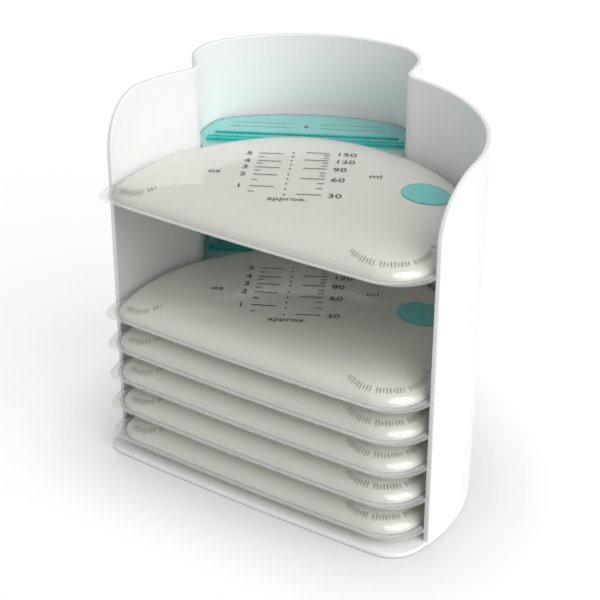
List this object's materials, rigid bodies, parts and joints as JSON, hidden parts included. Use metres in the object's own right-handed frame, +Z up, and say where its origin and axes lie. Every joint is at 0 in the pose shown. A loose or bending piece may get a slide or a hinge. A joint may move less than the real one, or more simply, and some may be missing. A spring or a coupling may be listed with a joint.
{
  "type": "milk storage bag freezer box",
  "caption": "Open-fronted white freezer box with a round body and narrower neck, holding flat heat-sealed milk bags that stack on its base and lift out.",
  "frame": {"origin": "middle of the footprint on the resting face under the base", "axes": "+Z up, +Y from the body towards the neck, +X to the right seen from the open front"},
  "size_m": [0.1788, 0.1974, 0.18],
  "materials": {
    "white_plastic": "satin-gloss moulded plastic",
    "clear_film": "clear glossy film",
    "frozen_milk": "ivory milk under glossy film",
    "teal_zip": "glossy translucent teal"
  },
  "bodies": {
    "box": {"storage_box": "white_plastic"},
    "bag_1": {"bag_1_upper_film": "clear_film", "bag_1_lower_film": "clear_film", "bag_1_milk": "frozen_milk", "bag_1_press_zip": "teal_zip", "bag_1_second_zip": "teal_zip"},
    "bag_2": {"bag_2_upper_film": "clear_film", "bag_2_lower_film": "clear_film", "bag_2_milk": "frozen_milk", "bag_2_press_zip": "teal_zip", "bag_2_second_zip": "teal_zip"},
    "bag_3": {"bag_3_upper_film": "clear_film", "bag_3_lower_film": "clear_film", "bag_3_milk": "frozen_milk", "bag_3_press_zip": "teal_zip", "bag_3_second_zip": "teal_zip"},
    "bag_4": {"bag_4_upper_film": "clear_film", "bag_4_lower_film": "clear_film", "bag_4_milk": "frozen_milk", "bag_4_press_zip": "teal_zip", "bag_4_second_zip": "teal_zip"},
    "bag_5": {"bag_5_upper_film": "clear_film", "bag_5_lower_film": "clear_film", "bag_5_milk": "frozen_milk", "bag_5_press_zip": "teal_zip", "bag_5_second_zip": "teal_zip"},
    "bag_6": {"bag_6_upper_film": "clear_film", "bag_6_lower_film": "clear_film", "bag_6_milk": "frozen_milk", "bag_6_press_zip": "teal_zip", "bag_6_second_zip": "teal_zip"}
  },
  "joints": [
    {"name": "bag_1_lift", "type": "slide", "parent": "box", "child": "bag_1", "axis": [0, 0, 1], "range_m": [0, 0.18]},
    {"name": "bag_2_lift", "type": "slide", "parent": "bag_1", "child": "bag_2", "axis": [0, 0, 1], "range_m": [0, 0.163]},
    {"name": "bag_3_lift", "type": "slide", "parent": "bag_2", "child": "bag_3", "axis": [0, 0, 1], "range_m": [0, 0.146]},
    {"name": "bag_4_lift", "type": "slide", "parent": "bag_3", "child": "bag_4", "axis": [0, 0, 1], "range_m": [0, 0.129]},
    {"name": "bag_5_lift", "type": "slide", "parent": "bag_4", "child": "bag_5", "axis": [0, 0, 1], "range_m": [0, 0.112]},
    {"name": "bag_6_lift", "type": "slide", "parent": "bag_5", "child": "bag_6", "axis": [0, 0, 1], "range_m": [-0.0444, 0.051]}
  ]
}
